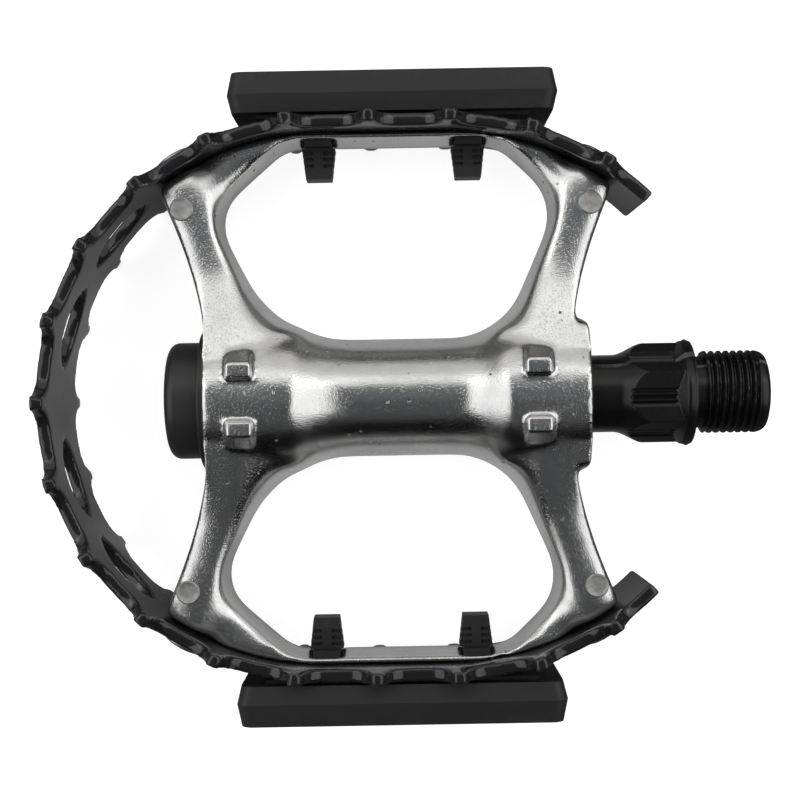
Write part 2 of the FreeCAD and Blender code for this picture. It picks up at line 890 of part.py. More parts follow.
def make_front_housing():
    """A drafted tray with a pocket for the lens, a pad against the cage and two snap posts."""
    back = reflector_outline(reflector_draft, pad_thickness)
    parting = reflector_outline(0, reflector_parting)
    front = reflector_outline(reflector_draft, reflector_depth)
    tray = Part.makeLoft([back, parting], True, True).fuse(Part.makeLoft([parting, front], True, True))
    floor = reflector_outline(reflector_draft + lens_border, reflector_depth - lens_pocket)
    pocket = Part.Face(floor).extrude(Vector(0, 0, lens_pocket + overrun))
    low = Vector(-pad_length / 2, -pad_half_height, 0)
    pad = Part.makeBox(pad_length, 2 * pad_half_height, pad_thickness, low)
    posts = [make_post(post_half_spacing), make_post(-post_half_spacing)]
    return on_front(tray.cut(pocket).fuse([pad] + posts).removeSplitter())


def make_front_lens():
    inset = reflector_draft + lens_border + lens_gap
    plate = Part.Face(reflector_outline(inset, reflector_depth - lens_pocket))
    return on_front(plate.extrude(Vector(0, 0, lens_thickness)))


def make_nodes():
    """Every separate piece, by name."""
    nodes = {
        "pedal_body": make_body(),
        "cage": make_cage(),
        "spindle": make_spindle(),
        "inboard_cup": make_inboard_cup(),
        "inboard_balls": make_inboard_balls(),
        "inboard_seal": make_inboard_seal(),
        "outboard_cup": make_outboard_cup(),
        "outboard_balls": make_outboard_balls(),
        "adjusting_cone": make_cone(),
        "lock_washer": make_lock_washer(),
        "locknut": make_locknut(),
        "dust_cap": make_dust_cap(),
    }
    for name, run in screw_runs.items():
        nodes["cage_screw_" + name] = make_screw(run)
    for piece, shape in (("housing", make_front_housing()), ("lens", make_front_lens())):
        front, rear = front_and_rear(shape)
        nodes["front_reflector_" + piece] = front
        nodes["rear_reflector_" + piece] = rear
    return nodes


def main():
    os.makedirs("parts", exist_ok=True)
    for name, shape in make_nodes().items():
        print(name, len(shape.Solids), shape.isValid(), round(shape.Volume, 1))
        shape.exportStep("parts/" + name + ".step")


main()
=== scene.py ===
# %% [markdown]
# # A bear trap pedal under studio light
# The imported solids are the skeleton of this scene: they already have the right sizes and places. The lesson
# dresses them. It softens the casting, cuts a thread on the spindle, rounds the pressed cage, gives every
# part a finish made of nodes, and looks straight down on it under soft boxes, as a product photographer
# would.

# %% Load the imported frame
import json
import math

import bmesh
import bpy
import numpy as np
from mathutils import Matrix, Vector


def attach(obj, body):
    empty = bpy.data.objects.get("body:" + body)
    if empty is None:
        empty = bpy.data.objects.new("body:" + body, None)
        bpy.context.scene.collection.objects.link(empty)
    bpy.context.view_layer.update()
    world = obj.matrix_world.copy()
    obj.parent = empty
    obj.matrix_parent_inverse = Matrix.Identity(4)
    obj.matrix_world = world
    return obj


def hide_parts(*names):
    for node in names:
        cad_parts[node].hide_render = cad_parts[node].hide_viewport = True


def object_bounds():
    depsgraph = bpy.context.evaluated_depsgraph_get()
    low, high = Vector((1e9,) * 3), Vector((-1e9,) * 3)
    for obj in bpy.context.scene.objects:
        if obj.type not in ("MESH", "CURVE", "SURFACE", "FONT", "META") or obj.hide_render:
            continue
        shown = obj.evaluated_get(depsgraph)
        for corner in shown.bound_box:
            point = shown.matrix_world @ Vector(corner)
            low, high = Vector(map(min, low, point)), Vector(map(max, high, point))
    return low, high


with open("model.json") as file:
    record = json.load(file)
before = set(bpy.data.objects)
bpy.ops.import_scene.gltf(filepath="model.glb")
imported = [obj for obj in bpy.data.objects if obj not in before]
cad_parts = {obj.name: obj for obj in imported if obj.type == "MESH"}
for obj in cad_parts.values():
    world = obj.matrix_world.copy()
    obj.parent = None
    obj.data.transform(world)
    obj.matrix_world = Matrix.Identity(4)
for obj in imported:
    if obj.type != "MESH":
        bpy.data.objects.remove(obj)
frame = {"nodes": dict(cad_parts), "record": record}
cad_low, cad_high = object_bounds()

MM = 0.001
nodes = frame["nodes"]


def in_mm(span):
    return [round(x / MM, 1) for x in span]


print("nodes in the frame:", len(nodes), "and box in mm:", in_mm(cad_high - cad_low))

# %% [markdown]
# ## Node maths in plain Python
# A shader is a sum of many small nodes, and clicking or wiring them one by one hides the idea. One class
# wraps a socket, so that masks and heights read like arithmetic: `1 - mask` adds a Math node, a vector times
# a number adds a Vector Math node, and a colour goes through a Mix node, because a Math node would turn it
# grey.

# %% A value that flows through nodes
# The numbers of a Mix node's colour sockets.
MIX_A, MIX_B, MIX_OUT = 6, 7, 2


class Flow:
    """A socket of a material's tree, or just the tree, that can be used in sums."""

    def __init__(self, tree, socket=None):
        self.tree = tree
        self.socket = socket

    def node(self, kind, settings=None, sockets=None, out=0):
        """Any node: its type, then its settings, then the values or links of its sockets."""
        made = self.tree.nodes.new(kind)
        for name, value in (settings or {}).items():
            setattr(made, name, value)
        for name, value in (sockets or {}).items():
            self.plug(made.inputs[name], value)
        return Flow(self.tree, made.outputs[out])

    def plug(self, socket, value):
        """Links a value that flows, and sets any other."""
        if isinstance(value, Flow):
            self.tree.links.new(value.socket, socket)
        else:
            socket.default_value = value

    def also(self, name):
        """Another output of the same node."""
        return Flow(self.tree, self.socket.node.outputs[name])

    def pair(self, operation, first, second):
        """The node that joins two values, whether they are colours, vectors or numbers."""
        kinds = {x.socket.type for x in (first, second) if isinstance(x, Flow)}
        if "RGBA" in kinds:
            a, b = [x if isinstance(x, (Flow, tuple)) else (x, x, x, 1) for x in (first, second)]
            settings = {"data_type": "RGBA", "blend_type": operation}
            return self.node("ShaderNodeMix", settings, {0: 1.0, MIX_A: a, MIX_B: b}, MIX_OUT)
        if "VECTOR" in kinds:
            a, b = [x if isinstance(x, (Flow, tuple)) else (x, x, x) for x in (first, second)]
            return self.node("ShaderNodeVectorMath", {"operation": operation}, {0: a, 1: b})
        return self.node("ShaderNodeMath", {"operation": operation}, {0: first, 1: second})

    def __add__(self, other):
        return self.pair("ADD", self, other)

    def __radd__(self, other):
        return self.pair("ADD", other, self)

    def __sub__(self, other):
        return self.pair("SUBTRACT", self, other)

    def __rsub__(self, other):
        return self.pair("SUBTRACT", other, self)

    def __mul__(self, other):
        return self.pair("MULTIPLY", self, other)

    def __rmul__(self, other):
        return self.pair("MULTIPLY", other, self)

    def __gt__(self, other):
        return self.node("ShaderNodeMath", {"operation": "GREATER_THAN"}, {0: self, 1: other})

    def rise(self, low, high):
        """0 below low, 1 above high, and a smooth step between them."""
        settings = {"interpolation_type": "SMOOTHSTEP"}
        sockets = {"Value": self, "From Min": low, "From Max": high}
        return self.node("ShaderNodeMapRange", settings, sockets)

    def between(self, first, last):
        """A colour that goes from first, where this value is 0, to last, where it is 1."""
        ends = {0: self, MIX_A: first, MIX_B: last}
        return self.node("ShaderNodeMix", {"data_type": "RGBA"}, ends, MIX_OUT)


def grey(level):
    return (level, level, level, 1)


print("sums between sockets are ready")

# %% [markdown]
# ## Starting a finish
# Every finish starts alike: a Principled shader and a place on the part, read in millimetres from the
# object's own coordinates. Those move with the part, so grain and pits stay where they are when the pedal
# spins.


# %% One start for all finishes
class Finish:
    """A material, its shader, and the place on the part in millimetres."""

    def __init__(self, name):
        self.material = bpy.data.materials.new(name)
        self.material.use_nodes = True
        tree = self.material.node_tree
        self.shader = tree.nodes["Principled BSDF"]
        self.flow = Flow(tree)
        self.place = self.flow.node("ShaderNodeTexCoord", out="Object") * (1 / MM)

    def noise(self, size, detail=2.0, stretch=(1, 1, 1)):
        """Cloudy noise from 0 to 1 whose blotches are about size millimetres across."""
        sockets = {"Vector": self.place * stretch, "Scale": 1 / size, "Detail": detail}
        return self.flow.node("ShaderNodeTexNoise", {}, sockets)

    def shaken(self, size, reach):
        """The place, shifted unevenly by up to reach millimetres, so that round patterns turn ragged."""
        push = self.noise(size).also("Color")
        sockets = {0: push, 1: (reach, reach, reach), 2: self.place}
        return self.flow.node("ShaderNodeVectorMath", {"operation": "MULTIPLY_ADD"}, sockets)

    def cells(self, size, place, randomness=1.0):
        """How far it is, in cells, to the nearest of points that are about size millimetres apart."""
        sockets = {"Vector": place, "Scale": 1 / size, "Randomness": randomness}
        return self.flow.node("ShaderNodeTexVoronoi", {"feature": "F1"}, sockets, "Distance")

    def lot(self, cell):
        """A number from 0 to 1 that each cell draws for itself."""
        return self.flow.node("ShaderNodeSeparateColor", {}, {"Color": cell.also("Color")})

    def edge(self):
        """About 0.5 on flat ground, more on ridges and less in hollows."""
        return self.flow.node("ShaderNodeNewGeometry", out="Pointiness")

    def relief(self, height):
        """Turns a height in millimetres into a normal."""
        return self.flow.node("ShaderNodeBump", {}, {"Height": height, "Distance": MM, "Strength": 1.0})

    def set(self, **sockets):
        """Fills the shader's sockets, named with _ for each space, and gives the material."""
        for name, value in sockets.items():
            self.flow.plug(self.shader.inputs[name.replace("_", " ")], value)
        return self.material


print("finishes start from millimetres on the part")

# %% [markdown]
# ## The casting's finish
# The body is die cast and then tumbled until it shines: bright, but with fine grain, soft waves left by the
# mould, small dents from the tumbling, and a few pits where the skin opened. A mirror metal with a single
# roughness looks like chrome. So grain, waves, dents and pits bend the normal a little, and a slow cloud, the
# grain, the pits and the hollows change the roughness. The pits and the hollows are also darkened in colour
# as painted shade.

# %% Polished cast alloy
BRIGHT_ALLOY, DULL_ALLOY = (0.80, 0.80, 0.785, 1), grey(0.72)
GRAIN_SIZE, DENT_SIZE, PIT_SIZE, WAVE_SIZE, CLOUD_SIZE, PATCH_SIZE = 0.30, 0.36, 1.7, 4.0, 6.0, 9.0
GRAIN_HEIGHT, WAVE_HEIGHT, DENT_DEPTH, PIT_DEPTH = 0.020, 0.060, 0.014, 0.10
# The last two numbers are how much painted shade darkens the pits and the hollows.
PIT_LOT, PIT_SHADE, HOLLOW_SHADE = 0.68, 0.85, 0.2
cast = Finish("cast_alloy_polished")
cast_cloud = cast.noise(CLOUD_SIZE, 3.0)
cast_wave = cast.noise(WAVE_SIZE)
cast_grain = cast.noise(GRAIN_SIZE, 3.0)
cast_dent = 1 - cast.cells(DENT_SIZE, cast.place).rise(0.10, 0.45)
cast_cell = cast.cells(PIT_SIZE, cast.shaken(0.7, 0.8))
cast_patch = cast.noise(PATCH_SIZE).rise(0.42, 0.60)
cast_pit = (1 - cast_cell.rise(0.07, 0.17)) * (cast.lot(cast_cell) > PIT_LOT) * cast_patch
# Hollows, found by pointiness, are darkened as painted shade and made rougher.
cast_hollow_shade = 1 - cast.edge().rise(0.40, 0.49)
cast_raised = GRAIN_HEIGHT * cast_grain + WAVE_HEIGHT * cast_wave
cast_height = cast_raised - DENT_DEPTH * cast_dent - PIT_DEPTH * cast_pit
cast_colour = cast_cloud.rise(0.3, 0.7).between(BRIGHT_ALLOY, DULL_ALLOY)
# Painted shade: the colour is darker in the pits and in the hollows.
cast_colour = cast_colour * (1 - PIT_SHADE * cast_pit) * (1 - HOLLOW_SHADE * cast_hollow_shade)
cast_alloy = cast.set(
    Base_Color=cast_colour,
    Metallic=1.0,
    Roughness=0.14 + 0.12 * cast_cloud + 0.08 * cast_grain + 0.25 * cast_pit + 0.12 * cast_hollow_shade,
    Normal=cast.relief(cast_height),
)
print("cast alloy nodes:", len(cast_alloy.node_tree.nodes))

# %% [markdown]
# ## The rough face of an ejector mark
# Tumbling hardly reaches the small round marks that are made further down, so the same alloy stays grey and
# grainy there. The grain is three times as high as on the polished skin, the roughness is more than double,
# and only the rim of the mark is rubbed smoother.

# %% Rough cast face
PALE_FACE, DARK_FACE = (0.58, 0.57, 0.55, 1), (0.42, 0.42, 0.41, 1)
BLOT_SIZE, FACE_HEIGHT = 1.2, 0.060
rough = Finish("rough_cast_face")
rough_grain = rough.noise(GRAIN_SIZE, 3.0)
rough_blot = rough.noise(BLOT_SIZE)
rough_rim = rough.edge().rise(0.52, 0.58)
rough_cast = rough.set(
    Base_Color=rough_blot.rise(0.3, 0.7).between(PALE_FACE, DARK_FACE),
    Metallic=1.0,
    Roughness=0.50 + 0.12 * rough_blot - 0.28 * rough_rim,
    Normal=rough.relief(FACE_HEIGHT * rough_grain),
)
print("rough face nodes:", len(rough_cast.node_tree.nodes))

# %% [markdown]
# ## Gloss black paint
# The cage is pressed steel dipped in gloss black. The paint levels into a slight orange peel and draws thin
# on the edges of the teeth, where shoes have rubbed it a little duller. A second coat on the shader gives the
# sharp gloss on top.

# %% Paint for the cage
DEEP_BLACK, RUBBED_BLACK = (0.008, 0.008, 0.009, 1), (0.045, 0.045, 0.047, 1)
PEEL_SIZE, DUST_SIZE, RUB_SIZE = 1.6, 0.25, 3.0
PEEL_HEIGHT, DUST_HEIGHT = 0.030, 0.002
paint = Finish("gloss_black_paint")
paint_peel = paint.noise(PEEL_SIZE)
paint_dust = paint.noise(DUST_SIZE)
paint_rub = paint.edge().rise(0.53, 0.60) * paint.noise(RUB_SIZE, 3.0).rise(0.42, 0.62)
black_paint = paint.set(
    Base_Color=paint_rub.between(DEEP_BLACK, RUBBED_BLACK),
    Roughness=0.12 + 0.08 * paint_peel + 0.05 * paint_dust + 0.18 * paint_rub,
    Normal=paint.relief(PEEL_HEIGHT * paint_peel + DUST_HEIGHT * paint_dust),
    Coat_Weight=0.4,
    Coat_Roughness=0.08,
)
print("paint nodes:", len(black_paint.node_tree.nodes))

# %% [markdown]
# ## Black oxide on steel
# The spindle is blackened with oxide, a thin satin skin that wears grey on crests and edges. It was turned on
# a lathe first, so fine marks run round the axis: noise that is squeezed along the axis and drawn out across
# it.

# %% Black oxide
OXIDE_BLACK, OXIDE_WORN = grey(0.004), grey(0.07)
OXIDE_CLOUD_SIZE, LATHE_SIZE, LATHE_STRETCH = 3.0, 0.5, (3.0, 0.25, 0.25)
OXIDE_CLOUD_HEIGHT, LATHE_HEIGHT = 0.030, 0.012
oxide = Finish("black_oxide_steel")
oxide_cloud = oxide.noise(OXIDE_CLOUD_SIZE, 3.0)
oxide_lathe = oxide.noise(LATHE_SIZE, 2.0, LATHE_STRETCH)
oxide_worn = oxide.edge().rise(0.54, 0.62) * oxide_cloud.rise(0.3, 0.6)
black_steel = oxide.set(
    Base_Color=oxide_worn.between(OXIDE_BLACK, OXIDE_WORN),
    Metallic=0.15,
    Roughness=0.22 + 0.14 * oxide_cloud - 0.05 * oxide_worn,
    Normal=oxide.relief(LATHE_HEIGHT * oxide_lathe + OXIDE_CLOUD_HEIGHT * oxide_cloud),
)
print("oxide nodes:", len(black_steel.node_tree.nodes))

# %% [markdown]
# ## Moulded plastic and rubber
# The reflector housings and the dust cap are moulded. The mould was spark eroded, which leaves a fine even
# grain, and the plastic froze as it flowed in, which leaves long faint marks. The seal is matte rubber with a
# grain of the same kind, so one function makes all three and only a few values differ.

# %% Moulded plastics and rubber
FLOW_SIZE, FLOW_STRETCH, SCUFF_SIZE, PALEST = 7.0, (0.4, 1.0, 1.0), 2.0, 2.2


def moulded(name, level, sheen, grain_size, grain_height):
    """Black plastic with a spark-eroded grain and faint flow marks."""
    made = Finish(name)
    grain = made.noise(grain_size)
    flow = made.noise(FLOW_SIZE, 2.0, FLOW_STRETCH)
    scuff = made.edge().rise(0.54, 0.62) * made.noise(SCUFF_SIZE, 3.0).rise(0.45, 0.65)
    return made.set(
        Base_Color=(0.5 * flow + 0.5 * scuff).between(grey(level), grey(level * PALEST)),
        Roughness=sheen + 0.10 * flow + 0.08 * grain,
        Normal=made.relief(grain_height * grain),
    )


housing_plastic = moulded("moulded_black_plastic", 0.007, 0.42, 0.22, 0.022)
cap_plastic = moulded("satin_black_plastic", 0.011, 0.30, 0.30, 0.008)
seal_rubber = moulded("matte_black_rubber", 0.018, 0.66, 0.35, 0.020)
print("plastics and rubber are ready")

# %% [markdown]
# ## Bright steels
# Inside run ground races and polished balls, and the screws, washer and nut are zinc plated. Turning marks
# run round the axis, so their noise is drawn out across it, as on the spindle.

# %% Ground, polished and plated steel
MARK_SIZE, MARK_STRETCH, BLOTCH_SIZE, BLOTCH_TINT = 0.4, (4.0, 0.3, 0.3), 2.5, (0.8, 0.8, 0.82)


def bright_steel(name, tint, shine, mark_height):
    """Steel with turning marks and a slightly blotchy shine."""
    made = Finish(name)
    marks = made.noise(MARK_SIZE, 2.0, MARK_STRETCH)
    blotch = made.noise(BLOTCH_SIZE, 3.0)
    darker = tuple(t * share for t, share in zip(tint, BLOTCH_TINT)) + (1,)
    return made.set(
        Base_Color=blotch.between(tint, darker),
        Metallic=1.0,
        Roughness=shine + 0.10 * blotch + 0.06 * marks,
        Normal=made.relief(mark_height * marks),
    )


race_steel = bright_steel("ground_race_steel", (0.52, 0.52, 0.54, 1), 0.22, 0.004)
ball_steel = bright_steel("polished_ball_steel", (0.78, 0.78, 0.80, 1), 0.05, 0.0005)
plated_steel = bright_steel("zinc_plated_steel", (0.62, 0.62, 0.63, 1), 0.28, 0.006)
print("steels are ready")

# %% [markdown]
# ## The reflector's lens
# A reflector throws light back from tiny cube corners behind clear amber plastic. Seen from outside they make
# a regular pattern of lighter and darker facets, as light falls on them. Modelling each corner would cost far
# more than it shows, so a cell texture without randomness draws the grid, each cell draws its own tint, which
# is the painted light and shade of a facet, the cells are painted lighter towards their edges as a painted
# highlight, and the way from a cell's middle to its edge gives the relief.

# %% Amber lens
# The lens's amber in painted shade and in painted light.
SHADED_AMBER, LIT_AMBER = (0.85, 0.24, 0.004, 1), (1.0, 0.44, 0.02, 1)
PRISM_SIZE, PRISM_HEIGHT = 1 / 0.62, 0.10
lens = Finish("amber_prism_lens")
lens_cell = lens.cells(PRISM_SIZE, lens.place, 0.0)
# Each facet draws a lot: how lit or shaded it is painted, and how rough it is.
lens_facet_light = lens.lot(lens_cell)
# A painted highlight: cells turn lighter towards their edges.
lens_edge_highlight = lens_cell.rise(0.30, 0.50)
amber_lens = lens.set(
    Base_Color=(0.65 * lens_facet_light + 0.35 * lens_edge_highlight).between(SHADED_AMBER, LIT_AMBER),
    Roughness=0.14 + 0.10 * lens_facet_light,
    Normal=lens.relief(PRISM_HEIGHT * lens_cell),
    Coat_Weight=0.8,
    Coat_Roughness=0.04,
)
print("lens nodes:", len(amber_lens.node_tree.nodes))

# %% [markdown]
# ## Handing out the finishes
# Each solid of the frame gets the finish of its slot. The record names a slot for every node, so a table from
# slots to finishes is enough.

# %% Finish of every solid
finishes = {
    "cast_alloy": cast_alloy,
    "black_paint": black_paint,
    "black_steel": black_steel,
    "race_steel": race_steel,
    "ball_steel": ball_steel,
    "plated_steel": plated_steel,
    "seal_rubber": seal_rubber,
    "cap_plastic": cap_plastic,
    "housing_plastic": housing_plastic,
    "amber_lens": amber_lens,
}
slot_of = {row["node"]: row["material_slot"] for row in frame["record"]["subparts"]}
for name, solid in nodes.items():
    solid.data.materials.clear()
    solid.data.materials.append(finishes[slot_of[name]])
print("solids with a finish:", len(slot_of))

# %% [markdown]
# ## Softening a solid
# Molten metal can't fill a sharp corner, and tumbling rounds what is left, so a real casting has no hard
# edge. Rounding hundreds of edges one by one is slow and fails where three meet. Instead the solid is
# remeshed into small even cells, and every corner of the skin is drawn towards the middle of its neighbours,
# turn after turn, as tumbling does. A weight from 0 to 1 says how far each corner goes.


# %% Pieces from meshes
def linked(name, data):
    """A new object in the scene, with that mesh, light or camera."""
    piece = bpy.data.objects.new(name, data)
    bpy.context.scene.collection.objects.link(piece)
    return piece


def even_cells(name, node, cell):
    """A new piece with the shape of a solid, as one skin of even cells."""
    solid = nodes[node]
    remesh = solid.modifiers.new("even cells", "REMESH")
    remesh.mode = "VOXEL"
    remesh.voxel_size = cell * MM
    skin = bpy.data.meshes.new_from_object(solid.evaluated_get(bpy.context.evaluated_depsgraph_get()))
    solid.modifiers.remove(remesh)
    skin.name = name
    skin.shade_smooth()
    return linked(name, skin)


def hand_over(piece, node, body):
    """The piece takes a solid's place, finish and body."""
    piece.data.materials.clear()
    piece.data.materials.append(finishes[slot_of[node]])
    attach(piece, body)
    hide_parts(node)


def triangles(piece):
    """How many triangles a piece has."""
    shown = piece.evaluated_get(bpy.context.evaluated_depsgraph_get()).to_mesh()
    shown.calc_loop_triangles()
    return len(shown.loop_triangles)


print("solids can be turned into skins")


# %% How a skin relaxes
def corners(piece):
    """The places of a piece's corners in millimetres, as rows of X, Y and Z."""
    flat = np.empty(3 * len(piece.data.vertices), np.float32)
    piece.data.vertices.foreach_get("co", flat)
    return flat.reshape(-1, 3) / MM


def put_back(piece, place):
    """Moves a piece's corners to new places in millimetres."""
    piece.data.vertices.foreach_set("co", (place * MM).ravel())
    piece.data.update()


def relax(piece, weight, turns):
    """Draws each corner halfway to the middle of its neighbours, times its weight, once a turn."""
    place = corners(piece)
    ends = np.empty(2 * len(piece.data.edges), np.int32)
    piece.data.edges.foreach_get("vertices", ends)
    one, other = ends.reshape(-1, 2).T
    count = len(place)
    near = np.bincount(ends, minlength=count)
    for turn in range(turns):
        for axis in range(3):
            along = place[:, axis]
            total = np.bincount(one, along[other], count) + np.bincount(other, along[one], count)
            along += (0.5 * weight * (total / near - along)).astype(np.float32)
    put_back(piece, place)


def step_up(value, low, high):
    """0 below low, 1 above high and smooth between, for whole rows of numbers."""
    t = np.clip((value - low) / (high - low), 0, 1)
    return t * t * (3 - 2 * t)


print("skins can be relaxed")

# %% [markdown]
# ## The casting's arms
# The solid's arms are flat strips with a web beside them. On the real casting each arm runs down from its
# boss in one straight slope, is crowned towards its outer edge, and falls away like a roof from its ridge to
# the window. Those are small changes of height, so they are made on the skin before it is relaxed. Masks keep
# them off the bores, and both sides of the casting get the same.

# %% Crowned arms and a sloping web
CASTING_CELL = 0.47
ARM_TOP, ARM_SLOPE, ARM_LEVEL_FROM, ARM_BEND = 6.9, 0.27, 22.0, 2.0
RIDGE, RIDGE_RUN, WEB_TOP, WEB_SLOPE, CROWN = 5.5, 1.5, 5.6, 0.30, 0.35
# Middle and radius of the outer edge of the outboard and the inboard arms.
ARM_ARCS = ((-193.85, -11.94, 112.45), (86.46, -10.69, 111.32))
# Where each change sets in or ends: by radius, by height, and by the way out from the spindle's axis.
BORE_EDGE, FACE_FROM = (11.2, 12.0), 2.0
RISE_FROM, RISE_TO, FALL_FROM, CROWN_FROM = (5.0, 8.0), (36.0, 40.0), (14.0, 20.0), (12.0, 20.0)
casting = even_cells("tumbled_casting", "pedal_body", CASTING_CELL)
place = corners(casting)
x, y, z = place.T
out, high = np.abs(y), np.abs(z)
to_level = ARM_LEVEL_FROM - out
arm_height = ARM_TOP + ARM_SLOPE * (to_level + np.hypot(to_level, ARM_BEND)) / 2
skin_only = step_up(np.hypot(y, z), *BORE_EDGE)
from_edge = [np.hypot(x - arc_x, out - arc_y) - arc_r for arc_x, arc_y, arc_r in ARM_ARCS]
lift = np.zeros_like(high)
for inward in from_edge:
    roof = arm_height - WEB_SLOPE * np.maximum(inward - RIDGE, 0)
    change = (roof - np.maximum(high, WEB_TOP)) * step_up(high, FACE_FROM, WEB_TOP) * skin_only
    rise = np.maximum(change, 0) * step_up(out, *RISE_FROM) * (1 - step_up(out, *RISE_TO))
    past_ridge = (inward > RIDGE) * (inward < RIDGE + RIDGE_RUN)
    fall = np.minimum(change, 0) * past_ridge * step_up(out, *FALL_FROM)
    lift = np.where(rise > lift, rise, lift) + fall
for inward in from_edge:
    across = np.clip(1 - inward / RIDGE, 0, 1)
    lift = lift - CROWN * across**4 * step_up(high, FACE_FROM, ARM_TOP - 1) * step_up(out, *CROWN_FROM)
place[:, 2] += np.sign(z) * lift
put_back(casting, place)
print("highest rise and deepest drop in mm:", round(float(lift.max()), 2), round(float(-lift.min()), 2))

# %% [markdown]
# ## Tumbling the casting
# Now the skin relaxes. The arms and webs flow freely and the barrel half as much. The bores, the rails, the
# machined ends and above all the grip lugs are held back, because the real part has crisp edges there.

# %% The casting, tumbled
TUMBLE_TURNS = 50
# Where the barrel and the arms are: along X, by radius, and by the way out from the spindle's axis.
BARREL_FROM, BARREL_TO, BARREL_R = (-73.5, -70.0), (-35.5, -32.0), (8.0, 9.0)
OUTSIDE_R, ARMS_FROM, ARMS_TO, RAILS_FROM = (11.0, 11.8), (6.5, 10.0), (39.0, 42.5), (40.0, 42.0)
# How much flows at least and in the barrel, and how much of that is held back elsewhere.
LEAST_FLOW, BARREL_FLOW, RAIL_HOLD, END_HOLD, LUG_HOLD = 0.12, 0.5, 0.8, 0.85, 0.92
# For each end its X, the way it faces, where it starts along X, and where it stops on the way out.
BODY_ENDS = ((-84.2, -1, (-1.0, 0.0), (12.0, 14.0)), (-19.8, 1, (-2.0, -0.5), (13.0, 14.0)))
LUG_PLACES, LUG_SIDE, LUG_FOOT, LUG_REACH = (-78.0, -28.7), (2.6, 4.0), (10.9, 12.2), (8.0, 11.0)
x, y, z = corners(casting).T
out, high, from_axis = np.abs(y), np.abs(z), np.hypot(y, z)
barrel = step_up(x, *BARREL_FROM) * (1 - step_up(x, *BARREL_TO)) * step_up(from_axis, *BARREL_R)
outside = np.maximum(step_up(from_axis, *OUTSIDE_R), barrel)
arms = step_up(out, *ARMS_FROM) * (1 - step_up(out, *ARMS_TO)) * outside
weight = np.maximum(LEAST_FLOW, np.maximum(arms, BARREL_FLOW * barrel))
weight = weight * (1 - RAIL_HOLD * step_up(out, *RAILS_FROM))
for end_x, facing, along_x, way_out in BODY_ENDS:
    at_end = step_up(facing * (x - end_x), *along_x) * (1 - step_up(out, *way_out))
    weight = weight * (1 - END_HOLD * at_end)
for lug_x in LUG_PLACES:
    beside = 1 - step_up(np.abs(x - lug_x), *LUG_SIDE)
    crest = step_up(high, *LUG_FOOT) * (1 - step_up(out, *LUG_REACH))
    weight = weight * (1 - LUG_HOLD * beside * crest)
relax(casting, weight, TUMBLE_TURNS)
hand_over(casting, "pedal_body", "pedal")
print("triangles in the casting:", triangles(casting))

# %% [markdown]
# ## Ejector marks
# Pins push the hot casting out of its mould, and each leaves a round face that the tumbling hardly reaches:
# grey, grainy, and with a rim just proud of the arm. They are small, so each is a lathe profile of its own on
# the arm's upper side.

# %% Four ejector marks
MARK_R, MARK_Y, MARK_TOP, MARK_SEGMENTS = 2.0, 32.2, 7.15, 64
MARK_X = {"outboard": -87.7, "inboard": -19.0}
# Radius, and depth below the top of the rim.
MARK_PROFILE = (
    (0.0, 0.12), (0.8, 0.12), (1.5, 0.12), (1.66, 0.04),
    (1.76, 0.0), (1.86, 0.02), (1.97, 0.12), (MARK_R, 0.5),
)


def smooth_piece(name, mesh):
    """A new piece from a mesh in the making, shaded smooth."""
    data = bpy.data.meshes.new(name)
    mesh.to_mesh(data)
    mesh.free()
    data.shade_smooth()
    return linked(name, data)


def lathe(name, profile, middle, top, segments):
    """A round piece about an upright axis, from radii and depths in millimetres, closed below."""
    mesh = bmesh.new()
    rings = []
    for radius, depth in profile:
        count = segments if radius else 1
        ring = []
        for i in range(count):
            angle = math.tau * i / count
            spot = (middle[0] + radius * math.cos(angle), middle[1] + radius * math.sin(angle), top - depth)
            ring.append(mesh.verts.new(Vector(spot) * MM))
        rings.append(ring)
    for inner, outer in zip(rings, rings[1:]):
        for i in range(segments):
            j = (i + 1) % segments
            if len(inner) == 1:
                mesh.faces.new((inner[0], outer[i], outer[j]))
            else:
                mesh.faces.new((inner[i], outer[i], outer[j], inner[j]))
    mesh.faces.new(list(reversed(rings[-1])))
    return smooth_piece(name, mesh)


marks = []
for end, mark_x in MARK_X.items():
    for side, mark_y in (("front", MARK_Y), ("rear", -MARK_Y)):
        name = "ejector_mark_" + side + "_" + end
        mark = lathe(name, MARK_PROFILE, (mark_x, mark_y), MARK_TOP, MARK_SEGMENTS)
        mark.data.materials.append(rough_cast)
        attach(mark, "pedal")
        marks.append(mark)
print("ejector marks:", len(marks))

# %% [markdown]
# ## The cage
# The cage is one strip of steel, blanked with its teeth, holes and eye-shaped cut-outs and then bent round
# the body. Blanking and paint round its edges only a little, and a bevel tangles on a mesh with so many short
# edges. So the strip becomes a skin of cells finer than the casting's and relaxes for two turns. Before that
# the eyes are closed by about an eighth of their height, as the photograph shows them.

# %% The cage, edges rounded by the press
CAGE_CELL, CAGE_TURNS = 0.40, 2
EYES, EYE_CLOSE = ((-109.0, 13.3), (-100.5, 29.7)), 0.13
EYE_AROUND, EYE_ABOVE = (7.0, 9.5), (5.5, 10.0)
strip = even_cells("pressed_cage", "cage", CAGE_CELL)
place = corners(strip)
x, y, z = place.T
for eye_x, eye_y in EYES:
    beside = 1 - step_up(np.hypot(x - eye_x, np.abs(y) - eye_y), *EYE_AROUND)
    place[:, 2] -= EYE_CLOSE * z * beside * (1 - step_up(np.abs(z), *EYE_ABOVE))
put_back(strip, place)
relax(strip, np.ones(len(place)), CAGE_TURNS)
hand_over(strip, "cage", "pedal")
print("triangles in the cage:", triangles(strip))

